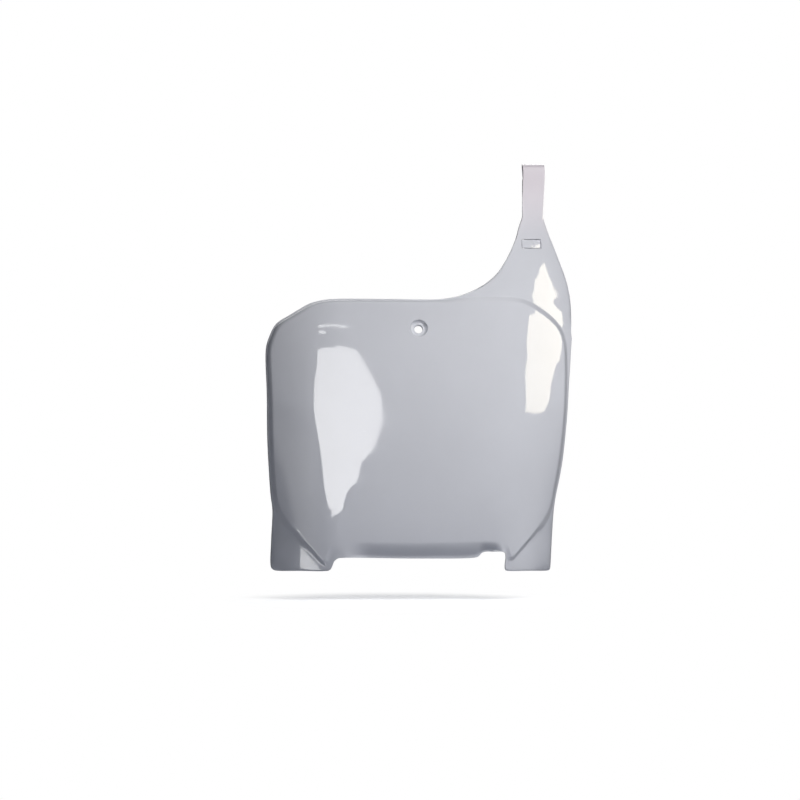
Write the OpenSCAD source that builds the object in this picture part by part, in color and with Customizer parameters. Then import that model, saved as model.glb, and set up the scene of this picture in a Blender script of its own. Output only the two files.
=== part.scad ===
// Racing number board: the front number plate of an off-road motorbike.
// One injection-moulded piece, drawn from the mould along Y: a double-curved thin wall with a
// raised number field, two wings that wrap back around the fork legs and end in feet, and a
// neck on the right that carries a strap looped over the handlebar's crossbar.
// Millimetres. +Z is up and the front faces -Y. The origin is the centre of the fixing hole,
// on the floor of its screw seat. Heights and depths below are from the centre of the hole
// on the face, which lies in front of the origin by the depth of the seat.

/* [Board] */
// Half width of the board at its left side
side_x = 118; // [112:0.5:124]
// Half width at the root of the neck, on the right
flank_x = 126; // [122:0.5:130]
// Height of the top edge above the fixing hole
top_z = 23; // [20:0.5:27]
// Depth of the feet below the fixing hole
foot_z = 192; // [186:0.5:200]
// Height of the lower lip above the bottom of the feet
lip_rise = 10.4; // [9:0.2:12]
// Depth of the wings' shoulders below the fixing hole
wing_z = 144; // [138:0.5:150]
// Half width over the feet
foot_x = 112; // [108:0.5:116]
// Inner edge of the feet, from the middle
foot_in_x = 69; // [66:0.5:72]
// Height of the relief cut beside the right foot
relief_h = 4.8; // [3:0.2:5.4]
// Width of the sloped corner at the top left
corner_w = 52; // [44:1:58]
// Height of the sloped corner
corner_h = 39; // [34:1:44]
// Distance of the neck's start on the top edge from the middle
neck_x = 20; // [10:1:30]
// Thickness of the moulded wall
wall = 2.4; // [2:0.1:3]

/* [Curves of the face] */
// Radius of the face from top to bottom
barrel_r = 250; // [240:5:280]
// Depth of the most forward line below the fixing hole
crown_z = 75; // [70:1:80]
// Radius of the face from side to side
face_r = 555; // [500:5:650]
// Distance from the middle at which the sides start to wrap back
wrap_x = 62; // [60:0.5:65]
// Radius of the wrapped sides at the top
wrap_r_top = 83; // [78:1:95]
// Radius of the wrapped sides at the feet
wrap_r_foot = 43.5; // [42:0.5:50]
// Slope of the neck and strap, as depth for each unit of height
neck_slope = 0.42; // [0.38:0.01:0.46]

/* [Number field] */
// Height of the number field above the wings and the neck
step_h = 4; // [3:0.2:4.6]
// Width of the soft step around the number field
step_w = 3.4; // [3:0.1:4]
// Width of the rolled rim at the side and the top
rim_w = 4; // [3.6:0.1:4.4]
// Height of the rolled lip at the bottom
lip_h = 12.6; // [11.5:0.2:13.5]
// Set-back of the rolled rim
rim_h = 3.6; // [3:0.2:4.2]
// Rounding of the outer edge
edge_r = 0.8; // [0.5:0.1:1]

/* [Neck and strap] */
// Width of the strap
strap_w = 17.2; // [16:0.2:18]
// Middle of the strap, from the fixing hole
strap_x = 99; // [94:0.5:102]
// Lean of the strap to the right, for each unit of height
strap_tilt = 0.045; // [0.03:0.005:0.06]
// Height at which the neck has narrowed to the strap
strap_z = 88; // [84:0.5:92]
// Top of the strap above the fixing hole
strap_top_z = 130; // [127:0.5:134]
// Thickness of the strap
strap_t = 2.6; // [2.4:0.1:3]
// Bore of the strap's loop, for the crossbar
loop_d = 12.8; // [12.7:0.1:13.2]
// Width of the strap's tail
tail_w = 14; // [13:0.2:15]
// Length of the tail below the middle of the window
tail_past = 9.8; // [8:0.2:12]
// Gap between the neck and the tail behind it
tail_gap = 1; // [0.9:0.1:1.2]

/* [Window] */
// Width of the window in the neck
window_w = 16.6; // [16:0.2:17]
// Height of the window
window_h = 7.4; // [7:0.2:8]
// Distance of the window's middle to the left of the strap's middle
window_off = 4.2; // [3.6:0.1:4.8]
// Distance of the window's middle below the start of the strap
window_drop = 21.2; // [20:0.2:23]
// Width of the latch peg that stands in the window
peg_w = 10; // [8:0.2:11]
// Gap around the latch peg, to the window's left, top and bottom
peg_clear = 1; // [0.8:0.1:1.4]
// Depth of the peg's face below the neck's face
peg_inset = 1.1; // [0.8:0.1:1.5]

/* [Fixing hole] */
// Diameter of the fixing hole
hole_d = 6.6; // [6.4:0.1:7]
// Width of the screw seat's floor around the hole
seat_ledge = 1.9; // [1.6:0.1:2.4]
// Width of the screw seat's slanted side
seat_flare = 1.7; // [1.2:0.1:2]
// Depth of the screw seat
seat_depth = 3; // [2.5:0.1:3.4]
// Thickness of the screw seat's floor
seat_floor_t = 2.6; // [2.2:0.1:3]
// Wall of the boss around the screw seat
boss_wall = 2.4; // [2:0.1:3]

/* [Hidden] */

// Middle of the window and of the tail's length in it
window_x = strap_x - window_off;
window_z = strap_z - window_drop;
tail_z = window_z - tail_past;
peg_h = window_h - 2 * peg_clear;
seat_floor_d = hole_d + 2 * seat_ledge;
seat_d = seat_floor_d + 2 * seat_flare;
boss_d = seat_d + 2 * boss_wall;

// Angle that the strap leans back from upright
lean = atan(neck_slope);
// Height at which the face's round profile runs out into the neck's straight slope
slope_z = neck_slope * barrel_r - crown_z;
loop_r = loop_d / 2;
bend_r = loop_r + strap_t;
// Height on the strap's face at which the bend starts
bend_z = strap_top_z - bend_r * (1 - sin(lean));
// Narrow gap that is left in the bend, for the loop's bore to clear
bore_cut = 0.25;
// Height of the tail's inner face where it leaves the bend
leave_z = bend_z - (bend_r + loop_r) * sin(lean);

// Samples along each stretch of the outline
n_side = 13;
n_corner = 11;
n_top = 8;
n_neck = 16;
n_foot = 5;
n_round = 4;
n_inner = 8;
n_lip = 16;
// Rows of the neck, the strap's front leg, its bend and its tail
n_rise = 8;
n_leg = 4;
n_bend = 14;
n_tail = 9;

function clamp(v) = min(max(v, 0), 1);
function mix(a, b, t) = a + (b - a) * t;
function smooth(v) = let (t = clamp(v)) t * t * (3 - 2 * t);

// Smooth curve from b to c, between its neighbours a and d, at the share t of the way
function gap_to(a, b) = max(sqrt(norm(b - a)), 0.01);
function bow(a, b, c, d, t) =
    let (u = gap_to(a, b), v = gap_to(b, c), w = gap_to(c, d),
        m = (b - a) * v / u - (c - a) * v / (u + v) + (c - b),
        n = (c - b) - (d - b) * v / (v + w) + (d - c) * v / w,
        e = c - b)
    b + t * (m + t * (3 * e - 2 * m - n + t * (m + n - 2 * e)));
// Smooth curve through the points p, which runs on to the points before and after it
function curve(p, before, after, fine = 8) =
    let (last = len(p) - 1)
    [for (i = [0 : last - 1], s = [0 : fine - 1])
        bow(i == 0 ? before : p[i - 1], p[i], p[i + 1], i == last - 1 ? after : p[i + 2], s / fine),
        p[last]];

// n points at even spacing along the curve p, its end left out
function run(p) =
    [for (i = 0, s = 0; i < len(p); s = s + norm(p[min(i + 1, len(p) - 1)] - p[i]), i = i + 1) s];
function column(keys, p, axis) = [for (i = [0 : len(p) - 1]) [keys[i], p[i][axis]]];
function spaced(c, n, closed_end = 0) =
    let (s = run(c), sx = column(s, c, 0), sz = column(s, c, 1))
    [for (i = [0 : n - 1 + closed_end])
        let (d = s[len(s) - 1] * i / n) [lookup(d, sx), lookup(d, sz)]];
// Points given as shares of the way from a to b, across and up
function within(a, b, p) = [for (q = p) [mix(a[0], b[0], q[0]), mix(a[1], b[1], q[1])]];

// Depth of the face from top to bottom, then of its wrap from side to side
function crown_y(z) = (pow(z + crown_z, 2) - pow(crown_z, 2)) / (2 * barrel_r);
function lean_y(z) = z < slope_z ? crown_y(z) : crown_y(slope_z) + (z - slope_z) * neck_slope;
// The wrap is tightest from this height down, and widest from the other up
tight_z = 27 - foot_z;
wide_z = 15 - crown_z;
function wrap_k(z) =
    mix(1 / wrap_r_foot, 1 / wrap_r_top, clamp((z - tight_z) / (wide_z - tight_z))) / 2;
function wrap_y(x, z) = x * x / (2 * face_r) + wrap_k(z) * pow(max(abs(x) - wrap_x, 0), 2);
// The strap is level from side to side, so the wrap fades out above the window
function face_y(x, z) =
    lean_y(z) + mix(wrap_y(x, z), wrap_y(strap_x, z), smooth((z - window_z - 6) / 24));
function slope_x(x, z) = face_y(x + 0.5, z) - face_y(x - 0.5, z);
function slope_up(x, z) = face_y(x, z + 0.5) - face_y(x, z - 0.5);
// Depth of a wall of thickness t, measured along Y
function depth(x, z, t) = t * norm([1, slope_x(x, z), slope_up(x, z)]);

// Corners of the field and of the outline, from which their curves are measured
side_l = -side_x;
rim_l = rim_w - side_x;
field_r = flank_x - 7.7;
field_top = top_z - rim_w;
foot = -foot_z;
lip = foot + lip_rise;
field_lip = lip + lip_h;
wing = -wing_z;
// Heights at which the corners at the top left and at the neck begin
corner_z = top_z - corner_h;
field_corner = rim_l + corner_w - rim_w;
flank_z = top_z - 26;
// Inner ends of the field's shoulders, above the wings
ridge_x = foot_x - 5.5;
ridge_z = wing + 1.5;
tip_x = foot_in_x + 8;
tip_z = foot + 12.4;
core_x = side_l + 32;
core_top = top_z - 31;
core_foot = wing - 6;

// Ridge between the field and a foot, from its shoulder to its tip
ridge = [[0, 0], [0.244, 0.32], [0.35, 0.434], [0.44, 0.52], [0.53, 0.6], [0.786, 0.82], [0.985, 0.995]];

// The outline runs clockwise as the front shows it, from the left wing's top. Each stretch
// has its number of samples, then its core, its field edge and its outer edge, as [x, z].
// The last four numbers are the set-back and the roundness of its step, at start and end.
stretches = [
    // left side
    [n_side,
        [[core_x + 2, wing + 16], [core_x, wing + 44], [core_x, core_top - 17]],
        within([-ridge_x, ridge_z], [rim_l, corner_z - 1],
            [[0, 0], [0.307, 0.06], [0.64, 0.219], [0.92, 0.458], [1, 0.737], [1, 1]]),
        within([0.3 - foot_x, wing], [side_l, corner_z],
            [[0, 0], [0.27, 0.086], [0.556, 0.227], [0.889, 0.461], [1, 0.734], [1, 1]]),
        [step_h, rim_h, 0.4, 1]],
    // top left corner
    [n_corner,
        [[core_x, core_top - 17], [core_x + 5, core_top - 7], [core_x + 28, core_top]],
        within([rim_l, corner_z - 1], [field_corner, field_top],
            [[0, 0], [0.054, 0.236], [0.156, 0.5], [0.335, 0.667], [0.51, 0.806], [0.667, 0.922],
                [0.813, 0.975], [1, 1]]),
        within([side_l, corner_z], [side_l + corner_w, top_z],
            [[0, 0], [0.05, 0.231], [0.154, 0.497], [0.346, 0.672], [0.5, 0.8], [0.644, 0.908],
                [0.808, 0.969], [1, 1]]),
        [rim_h, rim_h, 1, 1]],
    // top edge
    [n_top,
        [[core_x + 28, core_top], [neck_x - 4, core_top]],
        [[field_corner, field_top], [(field_corner + neck_x) / 2, field_top], [neck_x, field_top]],
        [[side_l + corner_w, top_z], [(side_l + corner_w + neck_x) / 2, top_z], [neck_x, top_z]],
        [rim_h, rim_h * 0.6, 1, 1]],
    // root of the neck
    [n_neck,
        within([neck_x - 4, core_top - 20], [flank_x - 38, core_top],
            [[0, 1], [0.61, 1], [0.92, 0.7], [1, 0]]),
        within([neck_x, corner_z + 2], [field_r, field_top],
            [[0, 1], [0.407, 1.024], [0.59, 1.018], [0.655, 0.991], [0.722, 0.909], [0.806, 0.77],
                [0.916, 0.521], [0.977, 0.273], [1, 0]]),
        within([neck_x, flank_z], [flank_x, top_z],
            [[0, 1], [0.236, 1.154], [0.472, 1.231], [0.66, 1.135], [0.811, 0.827], [0.925, 0.423],
                [1, 0]]),
        [rim_h * 0.6, step_h, 0.6, 0]],
    // right side
    [n_side,
        [[flank_x - 38, core_top - 20], [flank_x - 38, core_top - 52], [flank_x - 41, wing + 16]],
        within([ridge_x, ridge_z], [field_r, corner_z + 2],
            [[1, 1], [1.03, 0.89], [0.975, 0.72], [0.83, 0.486], [0.602, 0.3], [0.381, 0.175],
                [0.195, 0.074], [0, 0]]),
        within([foot_x, wing], [flank_x, flank_z],
            [[1, 1], [0.943, 0.879], [0.771, 0.681], [0.643, 0.489], [0.464, 0.291],
                [0.286, 0.177], [0.1, 0.085], [0, 0]]),
        [step_h, step_h, 0, 0.4]],
    // right foot, outer edge
    [n_foot,
        [[flank_x - 41, wing + 16], [tip_x + 6, wing + 10]],
        within([ridge_x, ridge_z], [tip_x, tip_z], [ridge[0], ridge[1], ridge[2]]),
        [[foot_x, wing], [foot_x, wing - 16], [foot_x, wing - 32], [foot_x, foot + 3]],
        [step_h, step_h, 0.4, 0]],
    // right foot, corner
    [n_round,
        [[tip_x + 6, wing + 10], [tip_x + 5, wing + 8]],
        within([ridge_x, ridge_z], [tip_x, tip_z], [ridge[2], ridge[3]]),
        [[foot_x, foot + 3], [foot_x - 0.4, foot + 1.2], [foot_x - 1.2, foot + 0.4], [foot_x - 3, foot]],
        [step_h, step_h, 0, 0]],
    // right foot, bottom
    [n_foot,
        [[tip_x + 5, wing + 8], [tip_x, wing - 2]],
        within([ridge_x, ridge_z], [tip_x, tip_z], [ridge[3], ridge[4], ridge[5], ridge[6]]),
        [[foot_x - 3, foot], [(foot_x + foot_in_x) / 2, foot], [foot_in_x + 5, foot]],
        [step_h, step_h, 0, 0]],
    // right foot, inner edge
    [n_inner,
        [[tip_x, wing - 2], [tip_x - 2, wing - 5], [foot_in_x - 3, core_foot]],
        [[tip_x + 0.4, tip_z + 0.2], [tip_x - 0.9, tip_z - 0.6], [tip_x - 1.9, tip_z + 1.8],
            [tip_x - 4.4, field_lip - 2.4], [foot_in_x - 3, field_lip]],
        [[foot_in_x + 5, foot], [foot_in_x + 2.8, foot + 0.6], [foot_in_x + 2, foot + 3],
            [foot_in_x + 2, lip + relief_h - 3.4], [foot_in_x + 1.2, lip + relief_h - 0.9],
            [foot_in_x - 1, lip + relief_h]],
        [step_h, rim_h, 0, 1]],
    // relief and lower lip
    [n_lip,
        [[foot_in_x - 3, core_foot], [0, core_foot], [5 - foot_in_x, core_foot]],
        [[foot_in_x - 3, field_lip], [0, field_lip - 0.4], [9 - foot_in_x, field_lip]],
        [[foot_in_x - 1, lip + relief_h], [foot_in_x - 8, lip + relief_h], [foot_in_x - 14, lip + relief_h],
            [foot_in_x - 17, lip + relief_h - 1], [foot_in_x - 19.6, lip + 0.9],
            [foot_in_x - 23, lip], [0, lip - 0.6], [11 - foot_in_x, lip]],
        [rim_h * 1.6, rim_h * 1.6, 1, 1]],
    // left foot, inner edge
    [n_inner,
        [[5 - foot_in_x, core_foot], [3 - tip_x, wing - 5], [1 - tip_x, wing - 2]],
        [[9 - foot_in_x, field_lip], [8 - tip_x, field_lip - 2], [4.8 - tip_x, tip_z + 0.6],
            [3.4 - tip_x, tip_z - 3.8], [1.4 - tip_x, tip_z - 1.9]],
        [[11 - foot_in_x, lip], [6.4 - foot_in_x, lip - 0.5], [3.6 - foot_in_x, lip - 3],
            [2.2 - foot_in_x, foot + 3.2], [0.8 - foot_in_x, foot + 0.8], [-1.6 - foot_in_x, foot]],
        [rim_h * 1.6, step_h, 1, 0]],
    // left foot, bottom
    [n_foot,
        [[1 - tip_x, wing - 2], [-5 - tip_x, wing + 8]],
        concat([[1.4 - tip_x, tip_z - 1.9]],
            within([-ridge_x, ridge_z], [-tip_x, tip_z], [ridge[5], ridge[4], ridge[3]])),
        [[-1.6 - foot_in_x, foot], [-(foot_x + foot_in_x) / 2, foot], [6 - foot_x, foot]],
        [step_h, step_h, 0, 0]],
    // left foot, corner
    [n_round,
        [[-5 - tip_x, wing + 8], [-6 - tip_x, wing + 10]],
        within([-ridge_x, ridge_z], [-tip_x, tip_z], [ridge[3], ridge[2]]),
        [[6 - foot_x, foot], [3.7 - foot_x, foot + 0.5], [1.9 - foot_x, foot + 1.8],
            [0.9 - foot_x, foot + 5.4]],
        [step_h, step_h, 0, 0]],
    // left foot, outer edge
    [n_foot,
        [[-6 - tip_x, wing + 10], [core_x + 2, wing + 16]],
        within([-ridge_x, ridge_z], [-tip_x, tip_z], [ridge[2], ridge[1], ridge[0]]),
        [[0.9 - foot_x, foot + 5.4], [0.6 - foot_x, wing - 24], [0.3 - foot_x, wing]],
        [step_h, step_h, 0, 0.4]],
];

// Each curve runs on into the next stretch, so that they meet without a kink
function loop(layer) = [for (k = [0 : len(stretches) - 1])
    let (p = stretches[k][layer],
        before = stretches[(k + len(stretches) - 1) % len(stretches)][layer],
        after = stretches[(k + 1) % len(stretches)][layer])
    each spaced(curve(p, before[len(before) - 2], after[1]), stretches[k][0])];
function along(a, b) = [for (s = stretches, i = [0 : s[0] - 1]) mix(s[4][a], s[4][b], i / s[0])];
core = loop(1);
field = loop(2);
outer = loop(3);
drop_h = along(0, 1);
roundness = along(2, 3);
count = len(outer);
// The neck grows from this sample of the outline
neck_start = n_side + n_corner + n_top;

// Set-back of the face at the distance d outside the field's edge
function reach(i) = norm(outer[i] - field[i]);
function width(i) =
    let (room = reach(i) - edge_r) mix(min(step_w, room * 0.8), room, roundness[i] * 0.9);
function set_back(i, d) = let (t = clamp(d / width(i)))
    drop_h[i] * mix(smooth(t), t * t * (1.6 - 0.6 * t), roundness[i]);
on_neck = function (i) i > neck_start && i < neck_start + n_neck;

// Rings of the face. A negative distance lies inside the field's edge, towards the core.
inner_rings = [0, 0.3, 0.55, 0.75, 0.9];
step_rings = [0.25, 0.5, 0.75, 1];
base_rings = [0.33, 0.67, 1];
shift = 1.4;
function place(i, d) =
    let (q = d < 0 ? (field[i] - core[i]) / norm(field[i] - core[i])
                   : (outer[i] - field[i]) / reach(i))
    [each field[i] + q * d, i, d];
rings = [
    for (f = inner_rings) [for (i = [0 : count - 1]) place(i, -(1 - f) * norm(field[i] - core[i]))],
    [for (i = [0 : count - 1]) place(i, -shift)],
    [for (i = [0 : count - 1]) place(i, 0)],
    for (f = step_rings) [for (i = [0 : count - 1]) place(i, f * width(i))],
    for (f = base_rings) [for (i = [0 : count - 1]) place(i, mix(width(i), reach(i) - edge_r, f))],
    [for (i = [0 : count - 1]) place(i, reach(i))],
];
ring_n = len(rings);
middle = [0, (core_top + wing) / 2 - 2];
core_scales = [0.3, 0.56, 0.8];

function edge_round(i, d) = d > reach(i) - 0.1 && !on_neck(i) ? edge_r * 0.6 : 0;
function front(p) = [p[0], face_y(p[0], p[1]) + set_back(p[2], p[3]) + edge_round(p[2], p[3]), p[1]];
function back(p) =
    [p[0], face_y(p[0], p[1]) + depth(p[0], p[1], wall) + set_back(p[2], p[3] + shift)
        - edge_round(p[2], p[3]), p[1]];
function flat(p) = [p[0], p[1], 0, -100];

function strap_mid(z) = strap_x + strap_tilt * (min(z, bend_z) - bend_z);

// Neck: rows from its root up to the strap. Its sides are smooth curves, given as shares of
// the way from their root to the strap, across and up.
neck_left = within([neck_x, top_z], [strap_mid(strap_z) - strap_w / 2, strap_z],
    [[0, 0], [0.2, 0.04], [0.43, 0.135], [0.575, 0.234], [0.674, 0.332], [0.741, 0.428],
        [0.801, 0.526], [0.896, 0.72], [0.953, 0.885], [1, 1]]);
neck_right = within([flank_x, flank_z], [strap_mid(strap_z) + strap_w / 2, strap_z],
    [[0, 0], [-0.04, 0.143], [-0.01, 0.308], [0.127, 0.451], [0.345, 0.589], [0.573, 0.727],
        [0.815, 0.866], [1, 1]]);
function side_row(p) =
    spaced(curve(p, 2 * p[0] - p[1], p[len(p) - 1] + [strap_tilt, 1]), n_rise, 1);
side_a = side_row(neck_left);
side_b = side_row(neck_right);
// Columns gather at the two edges as the neck narrows
function spread(r, j) =
    let (even = j / n_neck, w = norm(side_b[r] - side_a[r]),
        packed = j == 0 ? 0 : j == n_neck ? 1 : mix(edge_r / w, 1 - edge_r / w, (j - 1) / (n_neck - 2)))
    mix(even, packed, smooth(r / 3));
function neck_at(r, j) =
    let (u = spread(r, j), root = outer[neck_start + j],
        swell = root - mix(side_a[0], side_b[0], j / n_neck))
    mix(side_a[r], side_b[r], u) + swell * pow(1 - r / n_rise, 2);
function neck_drop(r, j) =
    let (i = neck_start + j) mix(set_back(i, reach(i)), step_h, smooth(r / 4));
function rounding(j) = j == 0 || j == n_neck ? edge_r * 0.6 : 0;
function neck_front(r, j) =
    let (p = neck_at(r, j)) [p[0], face_y(p[0], p[1]) + neck_drop(r, j) + rounding(j), p[1]];
// The neck's wall takes the thickness of the strap from the window upwards
function neck_t(z) = mix(wall, strap_t, smooth((z - window_z) / window_drop));
function neck_back(r, j) =
    let (p = neck_at(r, j))
    [p[0], face_y(p[0], p[1]) + neck_drop(r, j) + depth(p[0], p[1], neck_t(p[1])) - rounding(j), p[1]];

// Strap: its front leg, its bend over the crossbar and its tail. The face of the leg is a
// plane that leans back, so the bend is a turn about an axis along X.
function leg_y(z) = face_y(strap_x, z) + step_h;
up = [sin(lean), cos(lean)];
rear = [cos(lean), -sin(lean)];
bend_at = [leg_y(bend_z), bend_z] + bend_r * rear;
function strap_span(j, z, w) =
    let (half = w / 2, in = half - edge_r)
    strap_mid(z) + (j == 0 ? -half : j == n_neck ? half : mix(-in, in, (j - 1) / (n_neck - 2)));
function put(x, yz) = [x, yz[0], yz[1]];
function leg(r, j, t) =
    let (z = mix(strap_z, bend_z, r / n_leg), k = t == 0 ? rounding(j) : t - rounding(j))
    put(strap_span(j, z, strap_w), [leg_y(z), z] + k * rear);
function bend_w(a) = mix(strap_w, tail_w, smooth(a / 120 - 0.5));
function bend(r, j, t) =
    let (a = 180 * r / n_bend, k = bend_r - (t == 0 ? rounding(j) : strap_t + bore_cut - rounding(j)))
    put(strap_span(j, bend_z, bend_w(a)), bend_at + k * (sin(a) * up - cos(a) * rear));
// The tail closes on the neck's back face, at the gap, and ends below the window
function tail_clear(z) =
    mix(tail_gap, loop_d - 2 * bore_cut, smooth((z - window_z - 8) / (leave_z - window_z - 8)));
function tail_y(x, z) =
    face_y(x, z) + step_h + depth(x, z, neck_t(z)) + tail_clear(z) / cos(lean);
function tail(r, j, t) =
    let (f = r / n_tail, z = mix(leave_z, tail_z, f),
        x = strap_span(j, z, tail_w),
        k = t == 0 ? strap_t - rounding(j) : rounding(j))
    [x, tail_y(x, z) + k * cos(lean), z - k * sin(lean)];

function strip(side) = [
    for (r = [1 : n_rise]) [for (j = [0 : n_neck]) side == 0 ? neck_front(r, j) : neck_back(r, j)],
    for (r = [1 : n_leg]) [for (j = [0 : n_neck]) leg(r, j, side * strap_t)],
    for (r = [1 : n_bend - 1]) [for (j = [0 : n_neck]) bend(r, j, side * strap_t)],
    for (r = [0 : n_tail]) [for (j = [0 : n_neck]) tail(r, j, side * strap_t)],
];
strips = [strip(0), strip(1)];
strip_n = len(strips[0]);

// All points: the face, then the back, each with its rings, core, middle and strip
function skin(side) = [
    for (ring = rings) each [for (p = ring) side == 0 ? front(p) : back(p)],
    for (s = core_scales) each
        [for (p = core) let (q = flat(mix(middle, p, s))) side == 0 ? front(q) : back(q)],
    side == 0 ? front(flat(middle)) : back(flat(middle)),
    for (row = strips[side]) each row,
];
skin_n = count * (ring_n + len(core_scales)) + 1 + (n_neck + 1) * strip_n;
function at(side, k, i) = side * skin_n + k * count + i % count;
function middle_at(side) = side * skin_n + count * (ring_n + len(core_scales));
function strip_at(side, r, j) =
    r == 0 ? at(side, ring_n - 1, neck_start + j)
           : middle_at(side) + 1 + (r - 1) * (n_neck + 1) + j;

function turned(side, f) = side == 0 ? f : [for (k = [len(f) - 1 : -1 : 0]) f[k]];
function patch(side, a, b, c, d) = [turned(side, [a, b, c]), turned(side, [a, c, d])];
function between(side, k, m) =
    [for (i = [0 : count - 1]) each
        patch(side, at(side, k, i), at(side, m, i), at(side, m, i + 1), at(side, k, i + 1))];
function skin_faces(side) = [
    for (i = [0 : count - 1])
        turned(side, [middle_at(side), at(side, ring_n, i), at(side, ring_n, i + 1)]),
    for (k = [ring_n : ring_n + len(core_scales) - 2]) each between(side, k, k + 1),
    each between(side, ring_n + len(core_scales) - 1, 0),
    for (k = [0 : ring_n - 2]) each between(side, k, k + 1),
    for (r = [0 : strip_n - 1], j = [0 : n_neck - 1]) each
        patch(side, strip_at(side, r, j), strip_at(side, r + 1, j),
            strip_at(side, r + 1, j + 1), strip_at(side, r, j + 1)),
];
// The edge that joins the face and the back
function rim_path(side) = [
    for (i = [neck_start + n_neck : neck_start + count - 1]) at(side, ring_n - 1, i),
    for (r = [0 : strip_n]) strip_at(side, r, 0),
    for (j = [1 : n_neck]) strip_at(side, strip_n, j),
    for (r = [strip_n - 1 : -1 : 1]) strip_at(side, r, n_neck),
];
rim_front = rim_path(0);
rim_back = rim_path(1);
rim_faces = [for (k = [0 : len(rim_front) - 1]) let (m = (k + 1) % len(rim_front)) each
    patch(0, rim_front[k], rim_back[k], rim_back[m], rim_front[m])];

// Angle that the screw seat looks up, square to the face
seat_tilt = atan(slope_up(0, 0));

// Puts a child on the face, its +Y into the wall
module on_face(x, z, set = 0) {
    yaw = atan(slope_x(x, z));
    translate([x, face_y(x, z) + set, z])
        rotate([0, 0, yaw])
            rotate([-atan(slope_up(x, z) * cos(yaw)), 0, 0])
                children();
}

// Turned solid with its axis along +Y
module turned_y(d1, d2, h, from = 0) {
    translate([0, from, 0])
        rotate([-90, 0, 0])
            cylinder(d1 = d1, d2 = d2, h = h, $fn = 72);
}

module shell() {
    polyhedron(points = concat(skin(0), skin(1)),
        faces = concat(skin_faces(0), skin_faces(1), rim_faces));
}

// Tool that follows the neck, so that it ends in the gap in front of the tail
module window_tool() {
    cols = 6;
    rows = 3;
    x0 = window_x - window_w / 2;
    z0 = window_z - window_h / 2;
    function spot(a, b, back_side) =
        let (x = x0 + window_w * a / cols, z = z0 + window_h * b / rows)
        [x, face_y(x, z) + step_h + (back_side ? depth(x, z, neck_t(z)) + tail_gap * 0.5 : -6), z];
    function id(a, b, s) = s * (cols + 1) * (rows + 1) + b * (cols + 1) + a;
    function side_path(s) = [
        for (b = [0 : rows - 1]) id(0, b, s),
        for (a = [0 : cols - 1]) id(a, rows, s),
        for (b = [rows : -1 : 1]) id(cols, b, s),
        for (a = [cols : -1 : 1]) id(a, 0, s),
    ];
    near = side_path(0);
    far = side_path(1);
    polyhedron(
        points = [for (s = [0, 1], b = [0 : rows], a = [0 : cols]) spot(a, b, s == 1)],
        faces = [
            for (s = [0, 1], b = [0 : rows - 1], a = [0 : cols - 1]) each
                patch(s, id(a, b, s), id(a, b + 1, s), id(a + 1, b + 1, s), id(a + 1, b, s)),
            for (k = [0 : len(near) - 1]) let (m = (k + 1) % len(near)) each
                patch(0, near[k], far[k], far[m], near[m]),
        ]);
}

// Latch peg on the tail, with a round right end, seen through the window
module latch_peg() {
    length = wall + tail_gap + 0.8 - peg_inset;
    left = -window_w / 2 + peg_clear;
    on_face(window_x, window_z, step_h)
        translate([0, peg_inset, 0]) {
            translate([left, 0, -peg_h / 2]) cube([peg_w - peg_h / 2, length, peg_h]);
            translate([left + peg_w - peg_h / 2, 0, 0]) turned_y(peg_h, peg_h, length);
        }
}

// Screw seat of the fixing hole and the hole through its floor
module seat_tool() {
    on_face(0, 0) {
        turned_y(seat_d, seat_floor_d, seat_depth);
        turned_y(seat_d, seat_d, 3, -3);
        turned_y(hole_d, hole_d, seat_depth + seat_floor_t + 4, -2);
    }
}

// Bore of the strap's loop
module loop_tool() {
    translate([strap_x - strap_w, bend_at[0], bend_at[1]])
        rotate([0, 90, 0])
            cylinder(r = loop_r, h = 2 * strap_w, $fn = 72);
}

// The board: one moulded piece
module number_board() {
    color("whitesmoke")
        translate(seat_depth * [0, -cos(seat_tilt), sin(seat_tilt)]) {
            difference() {
                union() {
                    shell();
                    on_face(0, 0) turned_y(boss_d, boss_d, seat_depth + seat_floor_t - 1, 1);
                }
                seat_tool();
                window_tool();
                loop_tool();
            }
            latch_peg();
        }
}

number_board();
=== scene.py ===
import math

import bmesh
import bpy
from mathutils import Matrix, Vector


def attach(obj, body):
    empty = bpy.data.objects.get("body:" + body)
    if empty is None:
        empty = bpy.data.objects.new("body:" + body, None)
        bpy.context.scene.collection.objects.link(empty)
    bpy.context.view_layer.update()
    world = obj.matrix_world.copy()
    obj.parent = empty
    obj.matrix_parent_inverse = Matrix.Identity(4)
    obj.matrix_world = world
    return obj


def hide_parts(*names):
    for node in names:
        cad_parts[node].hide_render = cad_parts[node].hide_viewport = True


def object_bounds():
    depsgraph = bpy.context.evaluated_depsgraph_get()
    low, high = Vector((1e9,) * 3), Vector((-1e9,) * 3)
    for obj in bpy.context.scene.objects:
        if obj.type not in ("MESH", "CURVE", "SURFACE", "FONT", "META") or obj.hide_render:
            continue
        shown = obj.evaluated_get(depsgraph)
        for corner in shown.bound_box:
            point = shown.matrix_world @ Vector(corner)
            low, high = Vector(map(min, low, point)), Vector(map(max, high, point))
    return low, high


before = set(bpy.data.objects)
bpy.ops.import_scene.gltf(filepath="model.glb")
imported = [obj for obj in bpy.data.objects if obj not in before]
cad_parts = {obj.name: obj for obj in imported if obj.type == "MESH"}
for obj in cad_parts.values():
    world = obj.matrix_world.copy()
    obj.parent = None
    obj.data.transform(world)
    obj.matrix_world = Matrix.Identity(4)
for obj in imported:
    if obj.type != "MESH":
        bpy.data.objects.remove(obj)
cad_box = [list(corner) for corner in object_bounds()]

MM = 0.001
WHITE = (1, 1, 1, 1)

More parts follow.
